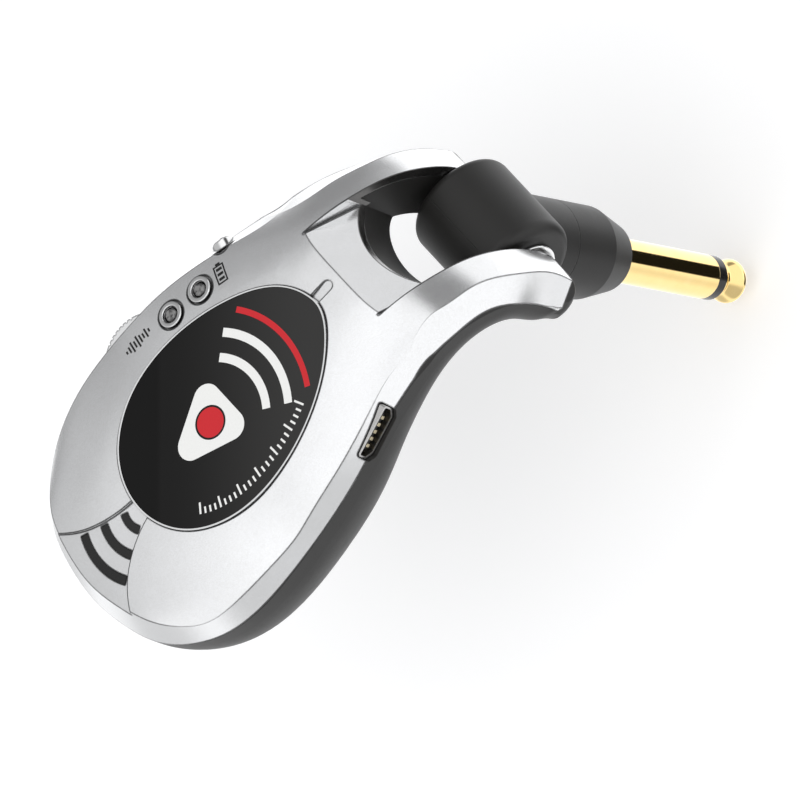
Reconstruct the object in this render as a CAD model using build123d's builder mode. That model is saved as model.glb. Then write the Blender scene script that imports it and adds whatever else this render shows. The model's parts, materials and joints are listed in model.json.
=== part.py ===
from build123d import *
from math import cos, pi, radians, sin
import os

os.makedirs("parts", exist_ok=True)

# Frame: origin at the centre of the badge face. +X runs from the round tail to the yoke,
# +Y to the side with the power switch, +Z out of the front face. Millimetres.

# ------------------------------------------------------------------ driving sizes
PIVOT_X = 38.0
PIVOT_Z = -25.2
LUG_R = 4.15  # round end of each yoke arm
SLOT_HALF = 9.2  # half the gap between the arms
ARM_OUT = 15.9  # outside of the lug
BOSS_Y = 8.6  # inner face of the lugs
BARREL_R = 8.0
BARREL_HALF = 8.05
NECK_R = 6.7
NECK_SEAM = 11.9  # from the pivot to the seam round the neck
NECK_CONE = 20.4
NECK_END = 26.6
PLUG_R = 3.175  # quarter-inch jack plug
SLEEVE_END = 49.7
TIP_START = 51.4
TIP_END = 58.6
REST_ANGLE = 83.0  # plug direction at rest, from +X towards -Z
SKIN = 1.5  # thickness of the front cover
GAP = 0.06  # clearance between the two covers inside their joint
RECESS = 0.5  # depth of the panel at the tail
BOARD_TOP = -5.6
BOARD_THICK = 1.0

# Stations round the shell, from the tail centre to the arm end, on the +Y side:
# the crease point (x, y, z), the tilt of the depth direction, the width and depth of the
# sloping band, the straight wall below it, and how far the back rounding reaches in and down.
STATIONS = [
    ((-32.5, 0.0, -1.6), 0, 2.4, 4.3, 1.0, 15.0, 13.2),
    ((-31.9, 5.6, -1.65), 0, 2.4, 4.2, 1.2, 14.6, 13.1),
    ((-30.5, 10.9, -1.95), 0, 2.3, 3.9, 1.6, 13.6, 12.8),
    ((-27.3, 15.6, -2.4), 0, 2.2, 3.4, 2.2, 12.6, 12.5),
    ((-22.6, 19.0, -2.35), 0, 2.2, 3.25, 2.6, 12.0, 12.3),
    ((-16.8, 21.1, -2.1), 0, 1.95, 2.95, 2.8, 11.6, 12.7),
    ((-10.8, 21.8, -1.8), 0, 1.75, 2.65, 3.0, 11.4, 13.1),
    ((-4.4, 21.7, -1.55), 0, 1.65, 2.55, 3.0, 11.2, 13.2),
    ((2.2, 21.1, -1.4), 0, 1.55, 2.5, 3.0, 11.0, 12.8),
    ((7.7, 19.9, -1.4), 2, 1.65, 2.45, 3.0, 10.6, 11.9),
    ((13.0, 18.2, -1.65), 6, 2.0, 2.35, 3.0, 9.6, 10.4),
    ((18.6, 16.4, -2.55), 13, 2.5, 2.15, 2.8, 8.0, 8.6),
    ((24.4, 15.0, -3.9), 24, 2.8, 2.1, 2.4, 6.2, 6.6),
    ((29.8, 14.3, -5.8), 36, 2.8, 2.3, 2.0, 5.0, 5.4),
    ((34.4, 13.9, -8.9), 51, 2.7, 2.7, 1.6, 4.4, 4.6),
    ((38.1, 13.8, -12.9), 65, 2.5, 3.2, 1.2, 4.0, 4.2),
    ((40.6, 13.9, -18.2), 79, 2.2, 3.8, 1.0, 3.6, 3.6),
    ((41.7, 14.2, -24.0), 88, 1.8, 4.0, 0.8, 3.4, 3.4),
    ((41.9, 14.4, -31.0), 91, 1.6, 4.0, 0.8, 3.4, 3.4),
]

# Middle line of the front surface (x, z) and how much it drops at 15 mm from the middle.
FRONT = [
    (-48.0, -7.0, 4.0),
    (-38.0, -3.1, 3.6),
    (-32.6, -1.55, 2.9),
    (-27.0, -0.62, 1.6),
    (-20.0, -0.1, 0.72),
    (-12.0, 0.0, 0.42),
    (-2.0, 0.05, 0.34),
    (8.0, 0.05, 0.47),
    (14.0, -0.1, 0.85),
    (20.0, -0.5, 1.75),
    (24.8, -1.4, 2.5),
    (29.0, -3.1, 2.25),
    (33.0, -5.7, 1.95),
    (36.6, -9.0, 1.5),
    (39.3, -13.1, 1.1),
    (41.2, -17.9, 0.8),
    (42.1, -24.0, 0.35),
    (42.2, -34.0, 0.2),
]

# Line between the two covers (x, z): silver in front of it, black behind.
COVER_SPLIT = [
    (-38.0, -6.4), (-30.0, -5.9), (-25.0, -5.7), (-20.0, -5.25), (-13.0, -4.55), (-5.0, -4.12),
    (3.0, -3.92), (9.0, -3.9), (13.7, -4.05), (19.0, -4.8), (24.6, -6.1), (30.0, -8.6),
    (34.2, -12.4), (36.5, -17.6), (37.3, -23.5), (37.4, -34.0),
]
SILVER_END_Z = -26.1

# Back of the body and arms, side view.
BACK_LINE = [
    (-38.0, -19.9), (-26.0, -20.05), (-10.0, -20.15), (3.0, -19.5), (12.0, -17.5),
    (20.0, -15.0), (26.5, -13.9), (29.9, -15.1), (32.1, -17.8), (33.4, -21.2), (34.0, -24.6),
]

RAMP_X = 24.3
RAMP_Z = -1.45
RAMP_SLOPE = 0.95
UWALL_R = 15.2
UWALL_X = 43.6


def unit(v):
    return v / v.length


def station_frame(point, tangent, tilt):
    """Section plane at a crease point: x outward, y back into the body."""
    a = radians(tilt)
    depth = Vector(-sin(a), 0, -cos(a))
    depth = unit(depth - tangent * depth.dot(tangent))
    out = tangent.cross(depth)
    if out.dot(Vector(0.3 * min(point.X + 20, 0), point.Y + 1e-6, 0)) < 0:
        out = out * -1
    return Plane(origin=point, x_dir=out, z_dir=out.cross(depth))


def shell_frames():
    """Section planes along the whole crease, from the -Y arm end round the tail to the +Y one."""
    points = [Vector(*s[0]) for s in STATIONS]
    mirrored = [Vector(p.X, -p.Y, p.Z) for p in reversed(points[1:])]
    crease = Spline(*(mirrored + points))
    frames = []
    for s, p in zip(list(reversed(STATIONS[1:])) + STATIONS, mirrored + points):
        tangent = crease.tangent_at(crease.param_at_point(p))
        frames.append((station_frame(p, tangent, s[1]), s))
    return frames


with BuildLine(mode=Mode.PRIVATE):
    FRAMES = shell_frames()

# ------------------------------------------------------------------ outer form
# The two cutters below are swept round the outline: one cuts the sloping band beside the
# front face, one cuts the walls and the large rounding of the back.
with BuildPart() as band_cutter:
    for plane, s in FRAMES:
        wide, deep = s[2], s[3]
        with BuildSketch(plane):
            with BuildLine():
                Polyline(
                    (-0.9 * wide, -0.9 * deep),
                    (1.35 * wide, 1.35 * deep),
                    (1.35 * wide + 14, 1.35 * deep),
                    (-0.9 * wide + 14, -0.9 * deep),
                    close=True,
                )
            make_face()
    loft()

with BuildPart() as back_cutter:
    for plane, s in FRAMES:
        wide, deep, wall, reach_in, reach_down = s[2:]
        top, low = deep - 1.6, deep + wall
        with BuildSketch(plane):
            with BuildLine():
                Polyline((wide, low), (wide, top), (wide + 14, top), (wide + 14, low + reach_down + 6))
                Line((wide + 14, low + reach_down + 6), (wide - reach_in, low + reach_down + 6))
                Line((wide - reach_in, low + reach_down + 6), (wide - reach_in, low + reach_down))
                Spline(
                    (wide - reach_in, low + reach_down),
                    (wide - 0.32 * reach_in, low + 0.72 * reach_down),
                    (wide, low),
                    tangents=[(1, -0.12), (0, -1)],
                )
            make_face()
    loft()

FRONT_HALF = 25.0  # half width of the section used for the front surface


def front_curve(middle, drop, half):
    """Control points of the crowned front section, which falls with the fourth power of y."""
    fall = drop * (half / 15) ** 4
    return [(k * half / 2, middle + (fall if k % 2 else -fall)) for k in (-2, -1, 0, 1, 2)]


def front_planes():
    """Planes across the front surface, each with how much it drops at 15 mm."""
    found = []
    for i, (x, z, drop) in enumerate(FRONT):
        before = FRONT[max(i - 1, 0)]
        after = FRONT[min(i + 1, len(FRONT) - 1)]
        along = Vector(after[0] - before[0], 0, after[1] - before[1])
        found.append((Plane(origin=(x, 0, z), x_dir=(0, 1, 0), z_dir=along), drop))
    return found


with BuildPart() as front_cutter:
    for plane, drop in front_planes():
        with BuildSketch(plane):
            with BuildLine():
                top = Bezier(*front_curve(0, drop, FRONT_HALF))
                Polyline(top @ 1, (FRONT_HALF, 22), (-FRONT_HALF, 22), top @ 0)
            make_face()
    loft()

with BuildPart() as lugs:
    # the arms end in round lugs about the pivot
    with BuildSketch(Plane.XZ):
        with Locations((PIVOT_X, PIVOT_Z)):
            Circle(LUG_R)
    extrude(amount=ARM_OUT, both=True)
    fillet(edges().filter_by(GeomType.CIRCLE), 2.2)

with BuildPart() as outer:
    with BuildSketch(Plane.XZ):
        with BuildLine():
            Polyline(BACK_LINE[-1], (38, SILVER_END_Z), (48, SILVER_END_Z), (48, 3), (-38, 3), BACK_LINE[0])
            Spline(*BACK_LINE)
        make_face()
    extrude(amount=26, both=True)
    add(lugs.part)
    add(back_cutter.part, mode=Mode.SUBTRACT)
    add(band_cutter.part, mode=Mode.SUBTRACT)
    add(front_cutter.part, mode=Mode.SUBTRACT)

with BuildPart() as slot_cutter:
    # the ramp in front, then the round wall behind it, then the open gap
    with BuildSketch(Plane.XZ):
        with BuildLine():
            Polyline(
                (RAMP_X - 4, RAMP_Z + 4 * RAMP_SLOPE),
                (RAMP_X + 14, RAMP_Z - 14 * RAMP_SLOPE),
                (RAMP_X + 14, 12),
                (RAMP_X - 4, 12),
                close=True,
            )
        make_face()
    extrude(amount=SLOT_HALF, both=True)
    with BuildSketch(Plane.XY.offset(-40)):
        with Locations((UWALL_X, 0)):
            Circle(UWALL_R)
            Rectangle(80, 2 * SLOT_HALF, mode=Mode.INTERSECT)
    extrude(amount=60)
    with Locations((UWALL_X, 0, -10)):
        Box(20, 2 * SLOT_HALF, 60, align=(Align.MIN, Align.CENTER, Align.CENTER))

GROOVE = 0.3  # fine grooves along the two sides of the ramp

with BuildPart() as ramp_grooves:
    for side in (1, -1):
        with BuildSketch(Plane.XZ.offset(-side * (SLOT_HALF - GROOVE / 2))):
            with BuildLine():
                Polyline(
                    (RAMP_X - 1.0, RAMP_Z + 1.0 * RAMP_SLOPE - GROOVE),
                    (RAMP_X + 12, RAMP_Z - 12 * RAMP_SLOPE - GROOVE),
                    (RAMP_X + 12, RAMP_Z - 12 * RAMP_SLOPE + 1),
                    (RAMP_X - 1.0, RAMP_Z + 1.0 * RAMP_SLOPE + 1),
                    close=True,
                )
            make_face()
        extrude(amount=GROOVE / 2, both=True)

with BuildPart() as lug_bosses:
    # inside the gap each lug carries a round boss that faces the barrel
    with BuildSketch(Plane.XZ):
        with Locations((PIVOT_X, PIVOT_Z)):
            Circle(LUG_R)
    extrude(amount=SLOT_HALF + 0.4, both=True)
    with BuildSketch(Plane.XZ):
        with Locations((PIVOT_X, PIVOT_Z)):
            Circle(LUG_R + 1)
    extrude(amount=BOSS_Y, both=True, mode=Mode.SUBTRACT)

with BuildPart() as body:
    add(outer.part.solids().sort_by(SortBy.VOLUME)[-1])
    add(slot_cutter.part, mode=Mode.SUBTRACT)
    add(lug_bosses.part)


# ------------------------------------------------------------------ zones of the two covers
def plan_points(inset, last):
    """Points inside the crease by inset, on the +Y side, for the first stations."""
    found = []
    for plane, s in FRAMES[len(STATIONS) - 1:][:last]:
        p = plane.from_local_coords((-inset, 0, 0))
        found.append((p.X, max(p.Y, 0)))
    return found


def plan_wire(inset, last, end_x, end_y):
    """The closed plan outline that follows the crease and ends square at end_x."""
    half = plan_points(inset, last) + [(end_x, end_y)]
    full = [(x, -y) for x, y in reversed(half[1:])] + half
    curve = Spline(*full)
    Line(curve @ 1, curve @ 0)


with BuildPart() as skin_cutter:
    for plane, drop in front_planes():
        with BuildSketch(plane):
            with BuildLine():
                top = Bezier(*front_curve(-SKIN, drop, FRONT_HALF))
                Polyline(top @ 1, (FRONT_HALF, 22), (-FRONT_HALF, 22), top @ 0)
            make_face()
    loft()

with BuildPart() as skin_cutter_gap:
    for plane, drop in front_planes():
        with BuildSketch(plane):
            with BuildLine():
                top = Bezier(*front_curve(-SKIN - GAP, drop, FRONT_HALF))
                Polyline(top @ 1, (FRONT_HALF, 22), (-FRONT_HALF, 22), top @ 0)
            make_face()
    loft()

with BuildPart() as recess_cutter:
    for plane, drop in front_planes():
        with BuildSketch(plane):
            with BuildLine():
                top = Bezier(*front_curve(-RECESS, drop, FRONT_HALF))
                Polyline(top @ 1, (FRONT_HALF, 22), (-FRONT_HALF, 22), top @ 0)
            make_face()
    loft()


def column(inset):
    """Plan outline of the space inside the silver cover's rim, arms included."""
    half = plan_points(inset, 13) + [(30.0, 14.3 - inset), (46.0, 13.9 - inset)]
    full = [(x, -y) for x, y in reversed(half[1:])] + half
    curve = Spline(*full)
    Line(curve @ 1, curve @ 0)


def ramp_zone(thick):
    """Closed profile of the space in front of the underside of the ramp."""
    low = RAMP_Z - thick
    Polyline(
        (RAMP_X - 5, low + 5 * RAMP_SLOPE),
        (RAMP_X + 8, low - 8 * RAMP_SLOPE),
        (RAMP_X + 8, 8),
        (RAMP_X - 5, 8),
        close=True,
    )


with BuildPart() as cover_inside:
    with BuildSketch(Plane.XY.offset(-40)):
        with BuildLine():
            column(0.9)
        make_face()
    extrude(amount=50)
    add(skin_cutter.part, mode=Mode.SUBTRACT)
    with BuildSketch(Plane.XZ):
        with BuildLine():
            ramp_zone(1.6)
        make_face()
    extrude(amount=SLOT_HALF + 0.1, both=True, mode=Mode.SUBTRACT)

with BuildPart() as cover_inside_gap:
    with BuildSketch(Plane.XY.offset(-40)):
        with BuildLine():
            column(0.96)
        make_face()
    extrude(amount=50)
    add(skin_cutter_gap.part, mode=Mode.SUBTRACT)
    with BuildSketch(Plane.XZ):
        with BuildLine():
            ramp_zone(1.66)
        make_face()
    extrude(amount=SLOT_HALF + 0.1, both=True, mode=Mode.SUBTRACT)


def split_profile():
    """Closed side profile of the space in front of the line between the covers."""
    Polyline((38.6, SILVER_END_Z), (48, SILVER_END_Z), (48, 8), (-42, 8), COVER_SPLIT[0])
    Spline(*[p for p in COVER_SPLIT[:-1]] + [(37.35, SILVER_END_Z)])
    Line((37.35, SILVER_END_Z), (38.6, SILVER_END_Z))


with BuildPart() as front_zone:
    with BuildSketch(Plane.XZ):
        with BuildLine():
            split_profile()
        make_face()
    extrude(amount=30, both=True)

with BuildPart() as front_raw:
    add(body.part)
    add(front_zone.part, mode=Mode.INTERSECT)
    add(cover_inside.part, mode=Mode.SUBTRACT)

with BuildPart() as back_zone:
    add(front_zone.part)
    add(cover_inside_gap.part, mode=Mode.SUBTRACT)

with BuildPart() as cavity:
    with BuildSketch(Plane.XY.offset(-6.2)):
        with BuildLine():
            plan_wire(2.3, 11, 22.4, 11.5)
        make_face()
    extrude(amount=10)
    for z, inset, last, end_x, end_y in (
        (-6.2, 0.0, 10, 22.4, 14.0),
        (-9.0, 0.2, 10, 22.4, 14.0),
        (-14.0, 2.2, 10, 16.0, 14.0),
        (-18.1, 7.6, 8, 2.0, 12.0),
    ):
        with BuildSketch(Plane.XY.offset(z)):
            with BuildLine():
                plan_wire(inset, last, end_x, end_y)
            make_face()
    loft()

with BuildPart() as back_raw:
    add(body.part)
    add(back_zone.part, mode=Mode.SUBTRACT)
    add(cavity.part, mode=Mode.SUBTRACT)


# ------------------------------------------------------------------ features shared by both covers
USB_PLANE = Plane(origin=(12.1, -20.4, -4.1), x_dir=(0.972, 0.234, 0), z_dir=(0.234, -0.972, 0))
BUTTON_PLANE = Plane(origin=(14.1, 20.0, -4.6), x_dir=(-0.972, 0.234, 0), z_dir=(0.234, 0.972, 0))
SWITCH_Z = -4.7
SWITCH_LEFT = -9.3
SWITCH_RIGHT = 1.1
KNOB_LONG = 7.9
KNOB_LEFT = -9.1
USB_WIDE, USB_HIGH = 8.0, 2.9
USB_FRONT = -0.6  # mouth of the socket, from its plane
USB_LONG = 5.6
BUTTON_R = 1.8
SCREW_SPOTS = [(-19, 13.0), (-19, -13.0), (17.0, 10.8), (17.0, -10.8)]
BOARD_LOW = BOARD_TOP - BOARD_THICK
LEDS = [(2.6, 16.7, -0.5), (8.1, 15.7, -0.5)]
LED_TILT = (0, 0.13, 1)
BADGE_X, BADGE_Y = 19.5, 13.95
BADGE_THICK = 0.6


def egg(grow):
    """Outline of the badge, grown all round by grow."""
    points = []
    for k in range(12):
        t = 2 * pi * k / 12
        x = (BADGE_X + grow) * cos(t)
        points.append((x - 0.15, (BADGE_Y + grow) * sin(t) * (1 - 0.008 * x)))
    Spline(*points, periodic=True)


def socket_outline(grow):
    """Micro-USB shape, grown all round by grow: the two corners on the back side are cut off."""
    wide, high = USB_WIDE / 2 + grow, USB_HIGH / 2 + grow
    cut = 1.05 + 0.4 * grow
    Polyline(
        (-wide, high),
        (-wide, -high + cut),
        (-wide + cut, -high),
        (wide - cut, -high),
        (wide, -high + cut),
        (wide, high),
        close=True,
    )


with BuildPart() as side_openings:
    # openings of the socket, the switch and the button, cut through both covers
    with BuildSketch(USB_PLANE.offset(-6)):
        with BuildLine():
            socket_outline(0.12)
        make_face()
        fillet(vertices(), 0.45)
    extrude(amount=10)
    with BuildSketch(Plane.XZ.offset(-18.2)):
        with Locations(((SWITCH_LEFT + SWITCH_RIGHT) / 2, SWITCH_Z)):
            RectangleRounded(SWITCH_RIGHT - SWITCH_LEFT, 3.6, 0.8)
    extrude(amount=-7.2)
    with BuildSketch(BUTTON_PLANE.offset(-1.7)):
        Circle(BUTTON_R + 0.06)
    extrude(amount=4)
    with BuildSketch(BUTTON_PLANE.offset(-5)):
        Circle(2.9)
    extrude(amount=3.4)

# ------------------------------------------------------------------ front cover
# One side of the flared panel at the tail, in plan.
PANEL_EDGE = [(-15.0, 1.75), (-19.5, 1.85), (-25.0, 3.6), (-28.3, 5.7), (-31.6, 9.4), (-37.0, 18.0)]

with BuildPart() as tail_panel:
    # lowered into the front face, running out over the rim
    with BuildSketch(Plane.XY.offset(-12)):
        with BuildLine():
            Spline(*PANEL_EDGE)
            Line(PANEL_EDGE[-1], (PANEL_EDGE[-1][0], -PANEL_EDGE[-1][1]))
            Spline(*[(x, -y) for x, y in reversed(PANEL_EDGE)])
            Line((PANEL_EDGE[0][0], -PANEL_EDGE[0][1]), PANEL_EDGE[0])
        make_face()
    extrude(amount=16)

ARC_CENTRE = (-18.3, 0)
ARCS = [(10.6, 11.9, 27), (7.0, 8.25, 26), (3.4, 4.55, 27)]  # inner and outer radius, half angle

with BuildPart() as tail_slots:
    for inner, outer_r, half in ARCS:
        with BuildSketch(Plane.XY.offset(-8)):
            with BuildLine():
                ring_in = CenterArc(ARC_CENTRE, inner, 180 - half, 2 * half)
                ring_out = CenterArc(ARC_CENTRE, outer_r, 180 - half, 2 * half)
                Line(ring_in @ 0, ring_out @ 0)
                Line(ring_in @ 1, ring_out @ 1)
            make_face()
        extrude(amount=9)

with BuildPart() as tail_lowering:
    add(tail_panel.part)
    add(recess_cutter.part, mode=Mode.INTERSECT)

with BuildPart() as front_cover:
    add(front_raw.part)
    # seat of the badge and the little tab beside it
    with BuildSketch(Plane.XY.offset(-BADGE_THICK - 0.02)):
        with BuildLine():
            egg(0.06)
        make_face()
    extrude(amount=4, mode=Mode.SUBTRACT)
    with BuildSketch(Plane.XY.offset(-0.95)):
        with Locations((20.6, 0)):
            SlotOverall(4.2, 1.7)
    extrude(amount=4, mode=Mode.SUBTRACT)
    # lamp holes, with a wider seat for the rings
    for x, y, z in LEDS:
        for low, radius in ((-3, 1.55), (-0.5, 2.2)):
            with BuildSketch(Plane(origin=(x, y, z), z_dir=LED_TILT).offset(low)):
                Circle(radius)
            extrude(amount=4, mode=Mode.SUBTRACT)
    add(side_openings.part, mode=Mode.SUBTRACT)
    add(tail_lowering.part, mode=Mode.SUBTRACT)
    add(tail_slots.part, mode=Mode.SUBTRACT)
    add(ramp_grooves.part, mode=Mode.SUBTRACT)
    # screw posts that reach down to the board
    for x, y in SCREW_SPOTS:
        with BuildSketch(Plane.XY.offset(BOARD_TOP + 0.02)):
            with Locations((x, y)):
                Circle(2.0)
                Circle(0.8, mode=Mode.SUBTRACT)
        extrude(amount=-BOARD_TOP - 1.9)

# ------------------------------------------------------------------ back cover
BUSH_R = 2.4
PIN_R = 1.6
BUSH_DEEP = 12.6
PIVOT = Plane(origin=(PIVOT_X, 0, PIVOT_Z), x_dir=(1, 0, 0), z_dir=(0, -1, 0))
SCREW_SHAFT = 1.0
SCREW_HEAD = 1.9
HEAD_Z = -10.5

with BuildPart() as supports:
    # posts under the board for the screws, and two low ribs that cradle the battery
    for x, y in SCREW_SPOTS:
        with BuildSketch(Plane.XY.offset(-16.5)):
            with Locations((x, y)):
                Circle(3.0)
        extrude(amount=16.5 + BOARD_LOW - 0.05)
    for x in (-15.4, 13.4):
        with Locations((x, 0, -18.4)):
            Box(1.0, 18, 6.0, align=(Align.CENTER, Align.CENTER, Align.MIN))
    # what would stand out of the back is cut off level with it
    add(outer.part, mode=Mode.INTERSECT)

with BuildPart() as back_cover:
    add(back_raw.part)
    add(side_openings.part, mode=Mode.SUBTRACT)
    add(supports.part)
    for x, y in SCREW_SPOTS:
        with BuildSketch(Plane.XY.offset(HEAD_Z)):
            with Locations((x, y)):
                Circle(SCREW_HEAD + 0.15)
        extrude(amount=-12, mode=Mode.SUBTRACT)
        with BuildSketch(Plane.XY.offset(HEAD_Z - 1)):
            with Locations((x, y)):
                Circle(SCREW_SHAFT + 0.1)
        extrude(amount=8, mode=Mode.SUBTRACT)
    # bores for the pivot bushes, from the gap outwards
    with BuildSketch(PIVOT):
        Circle(BUSH_R)
    extrude(amount=BUSH_DEEP, both=True, mode=Mode.SUBTRACT)

with BuildPart() as pivot_bushes:
    for side in (1, -1):
        with BuildSketch(PIVOT.offset(side * BOSS_Y)):
            Circle(BUSH_R)
            Circle(PIN_R + 0.05, mode=Mode.SUBTRACT)
        extrude(amount=side * (BUSH_DEEP - BOSS_Y))

with BuildPart() as friction_washers:
    for side in (1, -1):
        with BuildSketch(PIVOT.offset(side * (BARREL_HALF + 0.05))):
            Circle(4.8)
            Circle(PIN_R + 0.1, mode=Mode.SUBTRACT)
        extrude(amount=side * (BOSS_Y - BARREL_HALF - 0.07))

# ------------------------------------------------------------------ badge and lamps
INLAY = 0.12  # depth of the emblem inlays in the badge

with BuildPart() as badge_emblem:
    # a plain plectrum with two curved waves beside it
    with BuildSketch(Plane.XY.offset(-INLAY)):
        with BuildLine():
            Polyline((-13.0, 0), (0.5, 6.4), (0.5, -6.4), close=True)
        make_face()
        fillet(vertices(), 2.2)
        with Locations((-3.6, 0)):
            Circle(2.5, mode=Mode.SUBTRACT)
        for radius in (8.6, 12.2):
            with BuildLine():
                inner_arc = CenterArc((-3.6, 0), radius, -38, 76)
                outer_arc = CenterArc((-3.6, 0), radius + 1.3, -38, 76)
                Line(inner_arc @ 0, outer_arc @ 0)
                Line(inner_arc @ 1, outer_arc @ 1)
            make_face()
    extrude(amount=INLAY)

with BuildPart() as badge_accent:
    with BuildSketch(Plane.XY.offset(-INLAY)):
        with Locations((-3.6, 0)):
            Circle(2.2)
        with BuildLine():
            inner_arc = CenterArc((-3.6, 0), 15.8, -32, 64)
            outer_arc = CenterArc((-3.6, 0), 16.7, -32, 64)
            Line(inner_arc @ 0, outer_arc @ 0)
            Line(inner_arc @ 1, outer_arc @ 1)
        make_face()
    extrude(amount=INLAY)

with BuildPart() as emblem_shapes:
    add(badge_emblem.part)
    add(badge_accent.part)

with BuildPart() as badge_plate:
    with BuildSketch(Plane.XY.offset(-BADGE_THICK)):
        with BuildLine():
            egg(-0.27)
        make_face()
    extrude(amount=BADGE_THICK)
    add(emblem_shapes.part, mode=Mode.SUBTRACT)

with BuildPart() as badge_rim:
    with BuildSketch(Plane.XY.offset(-BADGE_THICK)):
        with BuildLine():
            egg(0)
        make_face()
        with BuildLine():
            egg(-0.24)
        make_face(mode=Mode.SUBTRACT)
    extrude(amount=BADGE_THICK + 0.1)

with BuildPart() as led_bezels:
    for x, y, z in LEDS:
        with BuildSketch(Plane(origin=(x, y, z), z_dir=LED_TILT).offset(-1.4)):
            Circle(1.5)
            Circle(1.15, mode=Mode.SUBTRACT)
        extrude(amount=1.4)
        with BuildSketch(Plane(origin=(x, y, z), z_dir=LED_TILT).offset(-0.45)):
            Circle(1.9)
            Circle(1.3, mode=Mode.SUBTRACT)
        extrude(amount=0.75)

with BuildPart() as led_lenses:
    for x, y, z in LEDS:
        with BuildSketch(Plane(origin=(x, y, z), z_dir=LED_TILT).offset(-1.5)):
            Circle(0.95)
        extrude(amount=1.55)
        with BuildSketch(Plane(origin=(x, y, z), z_dir=LED_TILT).offset(0.05)):
            Circle(0.95)
        extrude(amount=0.35, taper=35)

with BuildPart() as led_light_pipes:
    for x, y, z in LEDS:
        with BuildSketch(Plane.XY.offset(BOARD_TOP + 1.0)):
            with Locations((x, y)):
                Circle(0.9)
        extrude(amount=2.3)

with BuildPart() as led_chips:
    for x, y, z in LEDS:
        with Locations((x, y, BOARD_TOP)):
            Box(1.6, 1.0, 0.7, align=(Align.CENTER, Align.CENTER, Align.MIN))

with BuildPart() as wave_insert:
    # dark plate glued under the tail panel, its ribs fill the curved slots
    for inner, outer_r, half in ARCS:
        with BuildSketch(Plane.XY.offset(-4.6)):
            with BuildLine():
                ring_in = CenterArc(ARC_CENTRE, inner + 0.05, 180 - half + 0.6, 2 * half - 1.2)
                ring_out = CenterArc(ARC_CENTRE, outer_r - 0.05, 180 - half + 0.6, 2 * half - 1.2)
                Line(ring_in @ 0, ring_out @ 0)
                Line(ring_in @ 1, ring_out @ 1)
            make_face()
        extrude(amount=4.3)
    with Locations((-24.6, 0, -4.6)):
        Box(9, 5, 0.8, align=(Align.CENTER, Align.CENTER, Align.MIN))
    add(recess_cutter.part, mode=Mode.SUBTRACT)

# ------------------------------------------------------------------ side fittings
with BuildPart() as usb_shell:
    with BuildSketch(USB_PLANE.offset(USB_FRONT - USB_LONG)):
        with BuildLine():
            socket_outline(0)
        make_face()
        fillet(vertices(), 0.4)
    extrude(amount=USB_LONG)
    with BuildSketch(USB_PLANE.offset(USB_FRONT - USB_LONG + 0.4)):
        with BuildLine():
            socket_outline(-0.28)
        make_face()
        fillet(vertices(), 0.25)
    extrude(amount=USB_LONG, mode=Mode.SUBTRACT)

with BuildPart() as usb_tongue:
    with BuildSketch(USB_PLANE.offset(USB_FRONT - 5.15)):
        with BuildLine():
            socket_outline(-0.33)
        make_face()
        fillet(vertices(), 0.25)
    extrude(amount=1.2)
    with BuildSketch(USB_PLANE.offset(USB_FRONT - 3.95)):
        with Locations((0, 0.1)):
            Rectangle(5.6, 0.7)
    extrude(amount=3.35)

with BuildPart() as usb_contacts:
    # each runs along the back side of the tongue and up over its end
    with BuildSketch(USB_PLANE.offset(USB_FRONT - 3.9)):
        with Locations((0, -0.34)):
            with GridLocations(1.1, 1, 5, 1):
                Rectangle(0.5, 0.18)
    extrude(amount=3.42)
    with BuildSketch(USB_PLANE.offset(USB_FRONT - 0.6)):
        with Locations((0, -0.1)):
            with GridLocations(1.1, 1, 5, 1):
                Rectangle(0.5, 0.66)
    extrude(amount=0.12)

with BuildPart() as power_switch_knob:
    # low arched cap with fine grip lines, on a stem that reaches into the switch
    middle, right = KNOB_LEFT + KNOB_LONG / 2, KNOB_LEFT + KNOB_LONG
    with BuildSketch(Plane.XY.offset(SWITCH_Z - 1.55)):
        with BuildLine():
            Polyline((KNOB_LEFT, 22.5), (KNOB_LEFT, 21.6), (right, 21.6), (right, 22.5))
            ThreePointArc((right, 22.5), (middle, 23.75), (KNOB_LEFT, 22.5))
        make_face()
    extrude(amount=3.1)
    fillet(edges().filter_by(Axis.Y), 0.5)
    for k in range(7):
        x = (k - 3) * 0.8
        with Locations((middle + x, 23.75 - 0.08 * x * x, SWITCH_Z)):
            Box(0.28, 0.36, 4, align=(Align.CENTER, Align.CENTER, Align.CENTER), mode=Mode.SUBTRACT)
    with Locations((middle, 18.4, SWITCH_Z)):
        Box(2.0, 3.3, 0.9, align=(Align.CENTER, Align.MIN, Align.CENTER))

with BuildPart() as power_switch_body:
    middle = KNOB_LEFT + KNOB_LONG / 2 + 1
    with Locations((middle, 15.4, BOARD_TOP)):
        Box(9.0, 3.6, 2.6, align=(Align.CENTER, Align.MIN, Align.MIN))
    with Locations((middle, 18.2, SWITCH_Z)):
        Box(4.4, 2.0, 1.1, align=(Align.CENTER, Align.MIN, Align.CENTER), mode=Mode.SUBTRACT)

with BuildPart() as channel_button:
    with BuildSketch(BUTTON_PLANE.offset(-2.4)):
        Circle(BUTTON_R)
    extrude(amount=2.7)
    fillet(edges().filter_by(GeomType.CIRCLE).group_by(SortBy.DISTANCE)[-1], 0.3)
    with BuildSketch(BUTTON_PLANE.offset(0.05)):
        Rectangle(0.8, 6)
    extrude(amount=1, mode=Mode.SUBTRACT)
    with BuildSketch(BUTTON_PLANE.offset(-2.3)):
        Circle(BUTTON_R + 0.3)
    extrude(amount=0.55)

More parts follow.
